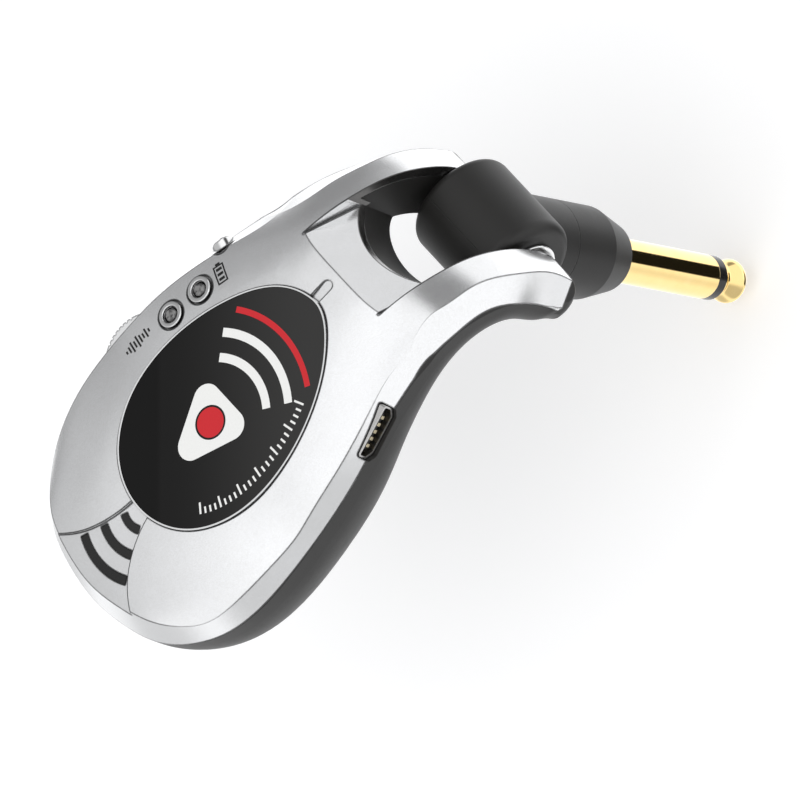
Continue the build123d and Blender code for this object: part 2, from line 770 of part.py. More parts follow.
with BuildPart() as tact_switch:
    with BuildSketch(BUTTON_PLANE.offset(-6.3)):
        with Locations((0, 0.25)):
            Rectangle(4.6, 2.5)
    extrude(amount=2.2)
    with BuildSketch(BUTTON_PLANE.offset(-4.1)):
        with Locations((0, 0.2)):
            Circle(0.9)
    extrude(amount=1.25)

# ------------------------------------------------------------------ board, battery, screws
with BuildPart() as main_board:
    with BuildSketch(Plane.XY.offset(BOARD_LOW)):
        with BuildLine():
            plan_wire(2.7, 10, 20.5, 12.0)
        make_face()
        with Locations(*SCREW_SPOTS):
            Circle(SCREW_SHAFT + 0.1, mode=Mode.SUBTRACT)
    extrude(amount=BOARD_THICK)

with BuildPart() as rf_shield:
    with Locations((-8.0, 1.0, BOARD_TOP)):
        Box(15, 12, 2.2, align=(Align.CENTER, Align.CENTER, Align.MIN))
    fillet(edges().filter_by(Axis.Z), 0.8)
    with Locations((-8.0, 1.0, BOARD_TOP)):
        Box(14.5, 11.5, 2.0, align=(Align.CENTER, Align.CENTER, Align.MIN), mode=Mode.SUBTRACT)

with BuildPart() as radio_chip:
    with Locations((-8.0, 1.0, BOARD_TOP)):
        Box(5, 5, 0.85, align=(Align.CENTER, Align.CENTER, Align.MIN))

with BuildPart() as audio_chips:
    for x, y, size in ((5.5, -6.5, 5.0), (6.0, 4.0, 4.0), (-6.0, -11.0, 3.0)):
        with Locations((x, y, BOARD_TOP)):
            Box(size, size, 0.9, align=(Align.CENTER, Align.CENTER, Align.MIN))

with BuildPart() as board_capacitors:
    for x, y in ((0.8, -10.5), (2.6, -10.5), (11.0, -2.0), (11.0, 0.5), (-17.5, 5.0), (-17.5, -4.0)):
        with Locations((x, y, BOARD_TOP)):
            Box(1.0, 1.9, 0.9, align=(Align.CENTER, Align.CENTER, Align.MIN))

with BuildPart() as antenna:
    # bent strip that stands on the board at the tail
    with BuildSketch(Plane.XY.offset(BOARD_TOP)):
        with Locations((-24.5, 0)):
            Rectangle(0.4, 9.0)
        with Locations((-22.8, 4.3)):
            Rectangle(3.8, 0.4)
        with Locations((-22.8, -4.3)):
            Rectangle(3.8, 0.4)
    extrude(amount=0.95)

with BuildPart() as battery:
    with Locations((-1.0, 0, -14.2)):
        Box(27.2, 22.0, 6.0, align=(Align.CENTER, Align.CENTER, Align.MIN))
    fillet(edges().filter_by(Axis.X), 1.6)

with BuildPart() as battery_pads:
    with Locations((-6.0, 0, -17.9)):
        Box(13.0, 15.0, 3.65, align=(Align.CENTER, Align.CENTER, Align.MIN))
    with Locations((-1.0, 0, -8.15)):
        Box(20.0, 14.0, -BOARD_THICK + 2.5, align=(Align.CENTER, Align.CENTER, Align.MIN))

with BuildPart() as battery_connector:
    with Locations((-18.2, 0, BOARD_LOW)):
        Box(3.4, 5.0, 2.2, align=(Align.CENTER, Align.CENTER, Align.MAX))

with BuildPart() as battery_wires:
    for y in (-1.1, 1.1):
        with BuildLine():
            Spline((-14.65, y, -9.6), (-15.6, y, -9.1), (-16.45, y, -8.0),
                   tangents=[(-1, 0, 0), (-1, 0, 0)])
        with BuildSketch(Plane(origin=(-14.65, y, -9.6), z_dir=(-1, 0, 0))):
            Circle(0.45)
        sweep()

with BuildPart() as case_screws:
    for x, y in SCREW_SPOTS:
        with BuildSketch(Plane.XY.offset(HEAD_Z)):
            with Locations((x, y)):
                Circle(SCREW_HEAD)
        extrude(amount=-1.3)
        with BuildSketch(Plane.XY.offset(HEAD_Z)):
            with Locations((x, y)):
                Circle(SCREW_SHAFT)
        extrude(amount=BOARD_TOP - HEAD_Z)
        with BuildSketch(Plane.XY.offset(BOARD_TOP)):
            with Locations((x, y)):
                Circle(0.78)
        extrude(amount=3.2)
        with BuildSketch(Plane.XY.offset(HEAD_Z - 1.3)):
            with Locations((x, y)):
                Rectangle(2.2, 0.5)
                Rectangle(0.5, 2.2)
        extrude(amount=0.7, mode=Mode.SUBTRACT)

# ------------------------------------------------------------------ swinging plug
# Local frame: z runs from the pivot to the tip of the plug, x along the pivot.
PLUG_DIR = (cos(radians(REST_ANGLE)), 0, -sin(radians(REST_ANGLE)))
PLUG = Plane(origin=(PIVOT_X, 0, PIVOT_Z), x_dir=(0, 1, 0), z_dir=PLUG_DIR)
PLUG_SIDE = Plane(origin=(PIVOT_X, 0, PIVOT_Z), x_dir=PLUG.y_dir, z_dir=PLUG.x_dir * -1)
CORE_R = 4.15
TAIL_R = 2.85
ROD_R = 1.2

with BuildPart() as barrel:
    with BuildSketch(PIVOT):
        Circle(BARREL_R)
    extrude(amount=BARREL_HALF, both=True)
    fillet(edges().filter_by(GeomType.CIRCLE), 1.5)
    with BuildSketch(PLUG):
        Circle(NECK_R)
    extrude(amount=NECK_SEAM - 0.05)
    with BuildSketch(PIVOT):
        Circle(5.6)
    extrude(amount=5.5, both=True, mode=Mode.SUBTRACT)
    with BuildSketch(PLUG):
        Circle(CORE_R + 0.02)
    extrude(amount=NECK_SEAM, mode=Mode.SUBTRACT)
    with BuildSketch(PIVOT):
        Circle(PIN_R + 0.02)
    extrude(amount=BARREL_HALF, both=True, mode=Mode.SUBTRACT)

with BuildPart() as barrel_front_half:
    add(barrel.part)
    split(bisect_by=Plane(origin=PLUG.origin, z_dir=PLUG.y_dir), keep=Keep.TOP)

with BuildPart() as barrel_back_half:
    add(barrel.part)
    split(bisect_by=Plane(origin=PLUG.origin, z_dir=PLUG.y_dir), keep=Keep.BOTTOM)

with BuildPart() as pivot_pins:
    for side in (1, -1):
        with BuildSketch(PIVOT.offset(side * 4.9)):
            Circle(2.8)
            Circle(0.8, mode=Mode.SUBTRACT)
        extrude(amount=side * 0.55)
        with BuildSketch(PIVOT.offset(side * 5.45)):
            Circle(PIN_R)
            Circle(0.8, mode=Mode.SUBTRACT)
        extrude(amount=side * (BUSH_DEEP - 0.1 - 5.45))

with BuildPart() as neck_sleeve:
    with BuildSketch(PLUG.offset(NECK_SEAM)):
        Circle(NECK_R)
    extrude(amount=NECK_CONE - NECK_SEAM)
    with BuildSketch(PLUG.offset(NECK_CONE)):
        Circle(NECK_R)
    with BuildSketch(PLUG.offset(NECK_END)):
        Circle(4.95)
    loft()
    fillet(edges().filter_by(GeomType.CIRCLE).sort_by(Axis.Z)[0], 0.5)
    with BuildSketch(PLUG.offset(NECK_SEAM)):
        Circle(CORE_R + 0.02)
    extrude(amount=NECK_END, mode=Mode.SUBTRACT)

with BuildPart() as plug_core:
    with BuildSketch(PLUG.offset(6.4)):
        Circle(CORE_R)
        Circle(TAIL_R + 0.02, mode=Mode.SUBTRACT)
    extrude(amount=NECK_END - 6.42)

with BuildPart() as plug_sleeve:
    with BuildSketch(PLUG.offset(9.0)):
        Circle(TAIL_R)
    extrude(amount=NECK_END - 9.0)
    with BuildSketch(PLUG.offset(NECK_END)):
        Circle(PLUG_R)
    extrude(amount=SLEEVE_END - NECK_END - 0.02)
    with BuildSketch(PLUG.offset(8)):
        Circle(1.9)
    extrude(amount=50, mode=Mode.SUBTRACT)

with BuildPart() as plug_insulator:
    with BuildSketch(PLUG.offset(SLEEVE_END)):
        Circle(PLUG_R)
    extrude(amount=TIP_START - SLEEVE_END - 0.02)
    with BuildSketch(PLUG.offset(6.5)):
        Circle(1.88)
    extrude(amount=SLEEVE_END - 6.5)
    with BuildSketch(PLUG.offset(6)):
        Circle(ROD_R + 0.02)
    extrude(amount=50, mode=Mode.SUBTRACT)

with BuildPart() as plug_tip:
    with BuildSketch(PLUG_SIDE):
        with BuildLine():
            Polyline((0, -3.2), (ROD_R, -3.2), (ROD_R, -TIP_START), (2.95, -TIP_START))
            Spline(
                (2.95, -TIP_START),
                (2.25, -TIP_START - 1.7),
                (3.15, -TIP_START - 4.3),
                (1.3, -TIP_END + 0.6),
                (0, -TIP_END),
                tangents=[(0, -1), (-1, 0)],
            )
            Line((0, -TIP_END), (0, -3.2))
        make_face()
    revolve(axis=Axis(PLUG.origin, PLUG.z_dir))

with BuildPart() as tip_lug:
    with BuildSketch(PLUG.offset(4.0)):
        Circle(2.6)
        with Locations((2.4, 0)):
            Rectangle(3.0, 1.6)
        Circle(ROD_R + 0.02, mode=Mode.SUBTRACT)
    extrude(amount=0.5)

with BuildPart() as lug_washer:
    with BuildSketch(PLUG.offset(4.55)):
        Circle(3.6)
        Circle(ROD_R + 0.02, mode=Mode.SUBTRACT)
    extrude(amount=1.8)

PIECES = {
    "front_cover": front_cover,
    "back_cover": back_cover,
    "pivot_bushes": pivot_bushes,
    "friction_washers": friction_washers,
    "badge_plate": badge_plate,
    "badge_rim": badge_rim,
    "badge_emblem": badge_emblem,
    "badge_accent": badge_accent,
    "led_bezels": led_bezels,
    "led_lenses": led_lenses,
    "led_light_pipes": led_light_pipes,
    "led_chips": led_chips,
    "wave_insert": wave_insert,
    "usb_shell": usb_shell,
    "usb_tongue": usb_tongue,
    "usb_contacts": usb_contacts,
    "power_switch_knob": power_switch_knob,
    "power_switch_body": power_switch_body,
    "channel_button": channel_button,
    "tact_switch": tact_switch,
    "main_board": main_board,
    "rf_shield": rf_shield,
    "radio_chip": radio_chip,
    "audio_chips": audio_chips,
    "board_capacitors": board_capacitors,
    "antenna": antenna,
    "battery": battery,
    "battery_pads": battery_pads,
    "battery_connector": battery_connector,
    "battery_wires": battery_wires,
    "case_screws": case_screws,
    "barrel_front_half": barrel_front_half,
    "barrel_back_half": barrel_back_half,
    "pivot_pins": pivot_pins,
    "neck_sleeve": neck_sleeve,
    "plug_core": plug_core,
    "plug_sleeve": plug_sleeve,
    "plug_insulator": plug_insulator,
    "plug_tip": plug_tip,
    "tip_lug": tip_lug,
    "lug_washer": lug_washer,
}

for name, piece in PIECES.items():
    piece.part.label = name
    export_step(piece.part, f"parts/{name}.step")
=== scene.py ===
import json
import math

import bmesh
import bpy
from mathutils import Matrix, Vector
from mathutils.bvhtree import BVHTree


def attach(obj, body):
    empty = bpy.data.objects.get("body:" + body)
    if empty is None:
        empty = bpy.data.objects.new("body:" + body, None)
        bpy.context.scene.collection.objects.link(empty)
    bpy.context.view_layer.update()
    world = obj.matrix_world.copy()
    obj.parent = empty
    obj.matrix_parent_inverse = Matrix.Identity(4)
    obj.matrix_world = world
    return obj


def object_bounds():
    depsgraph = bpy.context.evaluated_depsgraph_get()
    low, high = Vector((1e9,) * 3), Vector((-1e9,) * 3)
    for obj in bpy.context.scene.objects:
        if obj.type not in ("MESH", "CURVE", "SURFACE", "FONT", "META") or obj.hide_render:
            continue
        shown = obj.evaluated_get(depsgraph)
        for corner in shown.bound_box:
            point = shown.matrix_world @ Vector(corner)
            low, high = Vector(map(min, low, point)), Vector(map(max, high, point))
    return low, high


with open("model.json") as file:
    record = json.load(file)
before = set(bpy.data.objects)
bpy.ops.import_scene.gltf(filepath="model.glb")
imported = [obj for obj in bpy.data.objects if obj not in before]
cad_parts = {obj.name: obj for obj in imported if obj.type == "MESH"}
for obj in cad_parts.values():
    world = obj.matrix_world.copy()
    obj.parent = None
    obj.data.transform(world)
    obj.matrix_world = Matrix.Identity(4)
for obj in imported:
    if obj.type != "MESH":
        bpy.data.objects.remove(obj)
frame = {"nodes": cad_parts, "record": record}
bpy.context.view_layer.update()
CAD_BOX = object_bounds()
NODES = frame["nodes"]
MM = 0.001

# Direction of the plug at rest.
PLUG_DIR = Vector((0.12187, 0, -0.99255))

# The opening for the plug, in millimetres: half its width, and its round end about a point on the x axis.
OPENING_HALF = 9.3
OPENING_X = 43.6
OPENING_REACH = 15.3


# ---------------------------------------------------------------- node graphs
class Graph:
    """Short calls that add shader nodes and join them up."""

    def __init__(self, tree):
        self.tree = tree
        self.tree.nodes.clear()

    def add(self, kind, inputs=None, **settings):
        node = self.tree.nodes.new(kind)
        for key, value in settings.items():
            setattr(node, key, value)
        for key, value in (inputs or {}).items():
            self.feed(node.inputs[key], value)
        return node

    def feed(self, socket, value):
        if isinstance(value, bpy.types.NodeSocket):
            self.tree.links.new(value, socket)
        else:
            socket.default_value = value

    def math(self, operation, a, b=0.0, c=0.0):
        return self.add("ShaderNodeMath", {0: a, 1: b, 2: c}, operation=operation).outputs[0]

    def remap(self, value, low, high, to_low=0.0, to_high=1.0, kind="SMOOTHSTEP"):
        inputs = {"Value": value, "From Min": low, "From Max": high, "To Min": to_low, "To Max": to_high}
        return self.add("ShaderNodeMapRange", inputs, interpolation_type=kind).outputs[0]

    def mix(self, factor, a, b):
        """Colour between a and b."""
        node = self.add("ShaderNodeMix", {0: factor, 6: a, 7: b}, data_type="RGBA")
        return node.outputs[2]

    def level(self, factor, a, b):
        """Number between a and b."""
        return self.add("ShaderNodeMix", {0: factor, 2: a, 3: b}, data_type="FLOAT").outputs[0]

    def dot(self, vector, direction):
        inputs = {0: vector, 1: tuple(direction)}
        return self.add("ShaderNodeVectorMath", inputs, operation="DOT_PRODUCT").outputs["Value"]


def grey(value, warm=0.0):
    return (value * (1 + warm), value, value * (1 - warm), 1.0)


class Look(Graph):
    """A procedural material: one Principled shader fed by patterns in the part's own frame."""

    def __init__(self, name, **values):
        self.material = bpy.data.materials.new(name)
        self.material.use_nodes = True
        super().__init__(self.material.node_tree)
        self.shader = self.add("ShaderNodeBsdfPrincipled")
        out = self.add("ShaderNodeOutputMaterial")
        self.tree.links.new(self.shader.outputs[0], out.inputs["Surface"])
        self.place = self.add("ShaderNodeTexCoord").outputs["Object"]
        for key, value in values.items():
            self.set(key, value)

    def set(self, key, value):
        self.feed(self.shader.inputs[key.replace("_", " ")], value)

    def noise(self, size_mm, detail=2.0, rough=0.5):
        inputs = {"Scale": 1 / (size_mm * MM), "Detail": detail, "Roughness": rough, "Vector": self.place}
        return self.add("ShaderNodeTexNoise", inputs).outputs["Fac"]

    def cells(self, size_mm, output="Distance"):
        inputs = {"Scale": 1 / (size_mm * MM), "Vector": self.place}
        return self.add("ShaderNodeTexVoronoi", inputs).outputs[output]

    def turned(self, axis, size_mm):
        """Fine rings round an axis, as a lathe leaves them."""
        along = self.dot(self.place, axis)
        rings = self.add("ShaderNodeTexNoise", {"W": along, "Scale": 1 / (size_mm * MM), "Detail": 2.0},
                         noise_dimensions="1D")
        return rings.outputs["Fac"]

    def round_edges(self, radius_mm, samples=6):
        bevel = self.add("ShaderNodeBevel", {"Radius": radius_mm * MM}, samples=samples)
        return bevel.outputs[0]

    def bump(self, height, depth_mm, normal=None):
        inputs = {"Height": height, "Distance": depth_mm * MM, "Strength": 1.0}
        if normal is not None:
            inputs["Normal"] = normal
        return self.add("ShaderNodeBump", inputs).outputs[0]

    def edge_bend(self, rounded):
        """1 on open faces, lower where the rounded normal leaves the face's own."""
        own = self.add("ShaderNodeNewGeometry").outputs["Normal"]
        both = {0: rounded, 1: own}
        return self.add("ShaderNodeVectorMath", both, operation="DOT_PRODUCT").outputs["Value"]

    def slot_wall(self):
        """1 on the walls of the opening: between the arms and inside its round end."""
        x = self.dot(self.place, (1 / MM, 0, 0))
        y = self.dot(self.place, (0, 1 / MM, 0))
        ahead = self.math("SUBTRACT", x, OPENING_X)
        squares = self.math("MULTIPLY_ADD", ahead, ahead, self.math("MULTIPLY", y, y))
        reach = self.math("SQRT", squares)
        between = self.remap(self.math("ABSOLUTE", y), OPENING_HALF, OPENING_HALF - 0.06)
        near_end = self.remap(reach, OPENING_REACH, OPENING_REACH - 0.08)
        return self.math("MULTIPLY", between, near_end)

    def crevice(self, reach_mm):
        """1 in the open, lower in seams and inside corners."""
        inputs = {"Distance": reach_mm * MM}
        return self.add("ShaderNodeAmbientOcclusion", inputs, samples=6).outputs["AO"]


# ---------------------------------------------------------------- materials
def silver_paint():
    """Sprayed metallic silver under a thin clear coat, with painted shade: a dark line along sharp edges,
    darkened seams, and dark walls inside the opening for the plug.
    """
    look = Look("silver_paint", Metallic=0.86, Coat_Weight=0.3, Coat_Roughness=0.1)
    flake = look.cells(0.11, "Color")
    shade = look.add("ShaderNodeSeparateColor", {0: flake}).outputs[0]
    cloud = look.noise(9.0, 3.0)
    tone = look.math("MULTIPLY_ADD", cloud, 0.05, look.math("MULTIPLY", shade, 0.05))
    colour = look.mix(look.remap(tone, 0.0, 0.1), grey(0.77), (0.86, 0.865, 0.875, 1))
    rounded = look.round_edges(0.2)
    # painted shade: sharp edges and creases of the cover get a thin dark line in the colour
    painted_edge_line = look.math("SUBTRACT", 1.0, look.edge_bend(look.round_edges(0.34, 8)))
    colour = look.mix(look.remap(painted_edge_line, 0.0015, 0.014, 0.0, 0.92), colour, grey(0.05))
    # painted shade: seams and inside corners are darkened by ambient occlusion
    seam_shade = look.remap(look.crevice(0.6), 0.25, 0.8)
    colour = look.mix(seam_shade, grey(0.12), colour)
    # painted shade: the walls of the opening for the plug are darkened, as if in the shade between the arms
    inside = look.slot_wall()
    look.set("Base_Color", look.mix(inside, colour, grey(0.1, 0.03)))
    look.set("Roughness", look.math("MULTIPLY_ADD", look.noise(3.0, 4.0), 0.06, 0.22))
    normal = look.bump(look.noise(0.16, 2.0), 0.0014, rounded)
    look.set("Normal", look.bump(look.noise(1.6, 2.0), 0.0012, normal))
    return look.material


def black_shell():
    """Moulded black plastic with a fine spark-eroded texture, a trace of handling, and painted shade
    darkening its crevices.
    """
    look = Look("black_shell", Specular_IOR_Level=0.42)
    cloud = look.noise(6.0, 4.0, 0.6)
    colour = look.mix(cloud, (0.0125, 0.012, 0.0112, 1), (0.0185, 0.0178, 0.0168, 1))
    # painted shade: crevices are darkened by ambient occlusion
    crevice_shade = look.remap(look.crevice(0.8), 0.2, 0.85)
    look.set("Base_Color", look.mix(crevice_shade, grey(0.004), colour))
    grain = look.noise(0.2, 3.0, 0.65)
    rough = look.math("MULTIPLY_ADD", grain, 0.1, 0.36)
    look.set("Roughness", look.math("MULTIPLY_ADD", cloud, 0.12, rough))
    look.set("Normal", look.bump(grain, 0.011, look.round_edges(0.2)))
    return look.material


def badge_black():
    """Polished black acrylic, with a soft slanting painted reflection in its colour: darker to one side of
    a line, lighter across the rest.
    """
    look = Look("badge_black", Specular_IOR_Level=0.14)
    # painted reflection: a slanting dark-to-light gradient across the badge stands in for a softbox edge
    # mirrored in it
    across = look.dot(look.place, Vector((0.6227, -0.5772, 0)) / MM)
    reflection_edge = look.remap(across, -9.9, -8.9)
    fade = look.remap(across, -9.0, 13.0)
    base = look.mix(reflection_edge, grey(0.003, 0.04), grey(0.0065, 0.03))
    painted_reflection = look.mix(fade, base, grey(0.034, 0.02))
    speck = look.remap(look.noise(0.35, 4.0, 0.7), 0.68, 0.8)
    look.set("Base_Color", look.mix(look.math("MULTIPLY", speck, 0.05), painted_reflection, grey(0.3)))
    look.set("Roughness", look.math("MULTIPLY_ADD", look.noise(2.0, 3.0), 0.05, 0.05))
    look.set("Normal", look.bump(look.noise(7.0, 2.0), 0.003, look.round_edges(0.12)))
    return look.material


def satin_black(name, value=0.015, rough=0.3, edge=0.1):
    look = Look(name, Specular_IOR_Level=0.45)
    look.set("Base_Color", look.mix(look.noise(0.8, 3.0), grey(value * 0.8), grey(value * 1.2, 0.02)))
    look.set("Roughness", look.math("MULTIPLY_ADD", look.noise(0.5, 3.0), 0.12, rough - 0.06))
    look.set("Normal", look.bump(look.noise(0.14, 2.0), 0.003, look.round_edges(edge)))
    return look.material


def printed(name, colour):
    """Screen-printed ink: slightly uneven cover and a soft gloss."""
    look = Look(name, Specular_IOR_Level=0.4)
    thin = tuple(c * 0.9 for c in colour) + (1,)
    look.set("Base_Color", look.mix(look.noise(0.25, 3.0, 0.6), thin, tuple(colour) + (1,)))
    look.set("Roughness", look.math("MULTIPLY_ADD", look.noise(0.4, 3.0), 0.1, 0.26))
    look.set("Normal", look.bump(look.noise(0.1, 2.0), 0.002, look.round_edges(0.04)))
    return look.material


def chrome(name, value=0.82, rough=0.08, edge=0.16):
    """Bright plating over a well rounded form, with painted shade darkening its seams."""
    look = Look(name, Metallic=1.0)
    plated = look.mix(look.noise(1.2, 3.0), grey(value * 0.95), grey(value))
    # painted shade: seams are darkened by ambient occlusion
    seam_shade = look.remap(look.crevice(0.45), 0.35, 0.9)
    look.set("Base_Color", look.mix(seam_shade, grey(0.02), plated))
    look.set("Roughness", look.math("MULTIPLY_ADD", look.noise(0.6, 4.0), 0.08, rough - 0.02))
    look.set("Normal", look.bump(look.noise(0.3, 2.0), 0.0008, look.round_edges(edge, 8)))
    return look.material


def gold_plate():
    """Polished gold on a turned plug: faint lathe rings and hairline rubbing."""
    look = Look("gold_plate", Metallic=1.0)
    rings = look.turned(PLUG_DIR, 0.06)
    cloud = look.noise(2.5, 3.0)
    look.set("Base_Color", look.mix(cloud, (0.93, 0.68, 0.27, 1), (0.98, 0.76, 0.36, 1)))
    rough = look.math("MULTIPLY_ADD", cloud, 0.04, 0.04)
    look.set("Roughness", look.math("MULTIPLY_ADD", rings, 0.05, rough))
    look.set("Normal", look.bump(rings, 0.0003, look.round_edges(0.12)))
    return look.material


def metal(name, colour, rough, brushed_mm=0.08, axis=(1, 0, 0)):
    look = Look(name, Metallic=1.0)
    lines = look.turned(Vector(axis), brushed_mm)
    dark = tuple(c * 0.82 for c in colour) + (1,)
    look.set("Base_Color", look.mix(look.noise(0.9, 4.0), dark, tuple(colour) + (1,)))
    look.set("Roughness", look.math("MULTIPLY_ADD", lines, 0.14, rough - 0.07))
    look.set("Normal", look.bump(lines, 0.0012, look.round_edges(0.06)))
    return look.material


def lens():
    """Smoky moulded lens over a lamp that is off."""
    look = Look("lens", Transmission_Weight=0.3, IOR=1.49, Coat_Weight=1.0, Coat_Roughness=0.04)
    patches = look.remap(look.noise(0.7, 1.0), 0.4, 0.6)
    look.set("Base_Color", look.mix(patches, grey(0.07), grey(0.3, 0.01)))
    look.set("Roughness", look.math("MULTIPLY_ADD", look.noise(0.3, 2.0), 0.06, 0.1))
    look.set("Normal", look.bump(look.cells(0.5), 0.012, look.round_edges(0.3)))
    return look.material


def plain(name, colour, rough, grain_mm=0.3, spread=0.15, **values):
    """Moulded, woven or ceramic stock for the parts inside: mottled colour and a fine grain."""
    look = Look(name, **values)
    dark = tuple(c * (1 - spread) for c in colour) + (1,)
    mottle = look.noise(grain_mm * 4, 4.0, 0.6)
    look.set("Base_Color", look.mix(mottle, dark, tuple(colour) + (1,)))
    grain = look.noise(grain_mm, 3.0)
    look.set("Roughness", look.math("MULTIPLY_ADD", grain, 0.16, rough - 0.08))
    look.set("Normal", look.bump(grain, 0.01, look.round_edges(0.08)))
    return look.material


def solder_mask():
    """Green board: copper runs under the mask, and small pads."""
    look = Look("board", Coat_Weight=0.4, Coat_Roughness=0.2)
    runs = look.add("ShaderNodeTexBrick", {"Vector": look.place, "Scale": 320.0, "Mortar Size": 0.03,
                                           "Mortar Smooth": 0.2, "Brick Width": 0.9, "Row Height": 0.25})
    green = look.mix(look.noise(2.0, 3.0), (0.008, 0.11, 0.045, 1), (0.012, 0.16, 0.07, 1))
    colour = look.mix(look.math("MULTIPLY", runs.outputs["Fac"], 0.7), green, (0.04, 0.27, 0.1, 1))
    pads = look.remap(look.cells(1.9), 0.1, 0.14)
    look.set("Base_Color", look.mix(pads, (0.6, 0.58, 0.5, 1), colour))
    look.set("Roughness", look.math("MULTIPLY_ADD", look.noise(0.6, 3.0), 0.12, 0.3))
    look.set("Normal", look.bump(runs.outputs["Fac"], 0.01))
    return look.material


MATERIALS = {
    "silver_paint": silver_paint(),
    "black_shell": black_shell(),
    "badge_black": badge_black(),
    "badge_rim_chrome": chrome("badge_rim_chrome", 0.8, 0.12, 0.06),
    "inlay_white": printed("inlay_white", (0.9, 0.9, 0.88)),
    "inlay_red": printed("inlay_red", (0.62, 0.012, 0.02)),
    "chrome": chrome("chrome", edge=0.3),
    "lens": lens(),
    "lamp": plain("lamp", (0.8, 0.72, 0.4), 0.3, 0.2),
    "dark_insert": satin_black("dark_insert", 0.006, 0.28),
    "steel": metal("steel", (0.62, 0.61, 0.6), 0.28, 0.05, (0.97, 0.23, 0)),
    "brass": metal("brass", (0.78, 0.58, 0.26), 0.24, 0.07, (0, 1, 0)),
    "nylon": plain("nylon", (0.72, 0.7, 0.64), 0.45, 0.25, Subsurface_Weight=0.1, Subsurface_Scale=0.002),
    "gold_plate": gold_plate(),
    "contact_gold": metal("contact_gold", (0.97, 0.86, 0.6), 0.42, 0.05, (0, 1, 0)),
    "socket_plastic": satin_black("socket_plastic", 0.01, 0.4, 0.05),
    "plug_black": satin_black("plug_black", 0.008, 0.24, 0.06),
    "board": solder_mask(),
    "chip": plain("chip", (0.03, 0.03, 0.033), 0.5, 0.1),
    "shield_tin": metal("shield_tin", (0.7, 0.7, 0.68), 0.32, 0.3, (0, 1, 0)),
    "ceramic": plain("ceramic", (0.5, 0.36, 0.24), 0.4, 0.15),
    "cell_foil": metal("cell_foil", (0.72, 0.72, 0.74), 0.3, 0.5, (1, 0, 0)),
    "foam": plain("foam", (0.03, 0.03, 0.03), 0.85, 0.25, 0.4),
    "wire_red": plain("wire_red", (0.5, 0.02, 0.02), 0.4, 0.2),
    "connector_white": plain("connector_white", (0.8, 0.77, 0.7), 0.42, 0.3),
}

for row in frame["record"]["subparts"]:
    mesh = NODES[row["node"]].data
    mesh.materials.clear()
    mesh.materials.append(MATERIALS[row["material_slot"]])


# ---------------------------------------------------------------- prints on the surfaces
class Surface:
    """The outside of some CAD nodes, for laying thin prints on it."""

    def __init__(self, *names):
        points, faces = [], []
        for name in names:
            mesh, start = NODES[name].data, len(points)
            points += [v.co.copy() for v in mesh.vertices]
            faces += [[start + i for i in p.vertices] for p in mesh.polygons]
        self.tree = BVHTree.FromPolygons(points, faces)

    def drop(self, point, towards):
        """Where a ray from well outside meets the surface, and the direction out of it there."""
        hit = self.tree.ray_cast(point - towards * 0.02, towards)
        normal = hit[1] if hit[1].dot(towards) < 0 else -hit[1]
        return hit[0], normal


INK_MM = 0.03  # how far a print stands out of its surface
INK_ROOT_MM = 0.03  # how far it reaches into it


def bar(x, y, wide, high, turn=0.0):
    """Corners of an upright rectangle about x, y, turned by an angle in degrees."""
    c, s = math.cos(math.radians(turn)), math.sin(math.radians(turn))
    corners = [(-wide / 2, -high / 2), (wide / 2, -high / 2), (wide / 2, high / 2), (-wide / 2, high / 2)]
    return [(x + c * u - s * v, y + s * u + c * v) for u, v in corners]


def dot_shape(x, y, radius, sides=20):
    turns = [2 * math.pi * k / sides for k in range(sides)]
    return [(x + radius * math.cos(t), y + radius * math.sin(t)) for t in turns]


def arc_strip(x, y, inner, outer, start, end, steps=24):
    """Four-sided pieces that make up part of a ring, angles in degrees."""
    turns = [math.radians(start + (end - start) * k / steps) for k in range(steps + 1)]
    pieces = []
    for a, b in zip(turns, turns[1:]):
        pieces.append([(x + r * math.cos(t), y + r * math.sin(t))
                       for r, t in ((inner, a), (outer, a), (outer, b), (inner, b))])
    return pieces


def lay_print(name, shapes, origin, x_dir, y_dir, surface, slot):
    """Flat shapes, in millimetres on the plane at origin, laid as thin solid ink on the surface behind."""
    x_dir, y_dir = Vector(x_dir).normalized(), Vector(y_dir).normalized()
    towards = -x_dir.cross(y_dir)
    bm = bmesh.new()
    for shape in shapes:
        bm.faces.new([bm.verts.new((u * MM, v * MM, 0)) for u, v in shape])
    bmesh.ops.remove_doubles(bm, verts=bm.verts, dist=0.002 * MM)
    long_edges = [e for e in bm.edges if e.calc_length() > 0.5 * MM]
    bmesh.ops.subdivide_edges(bm, edges=long_edges, cuts=3, use_grid_fill=True)
    bmesh.ops.triangulate(bm, faces=bm.faces)
    top = list(bm.verts)
    for v in top:
        flat = Vector(origin) * MM + x_dir * v.co.x + y_dir * v.co.y
        hit, normal = surface.drop(flat, towards)
        v.co = hit + normal * INK_MM * MM
    bmesh.ops.extrude_face_region(bm, geom=list(bm.faces))
    for v in top:
        v.co += towards * (INK_MM + INK_ROOT_MM) * MM
    bmesh.ops.recalc_face_normals(bm, faces=bm.faces)
    mesh = bpy.data.meshes.new(name)
    bm.to_mesh(mesh)
    bm.free()
    piece = bpy.data.objects.new(name, mesh)
    bpy.context.scene.collection.objects.link(piece)
    mesh.materials.append(MATERIALS[slot])
    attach(piece, "case")
    return piece


FRONT = Surface("front_cover")
SIDE = Surface("front_cover", "back_cover")
BADGE = Surface("badge_plate")


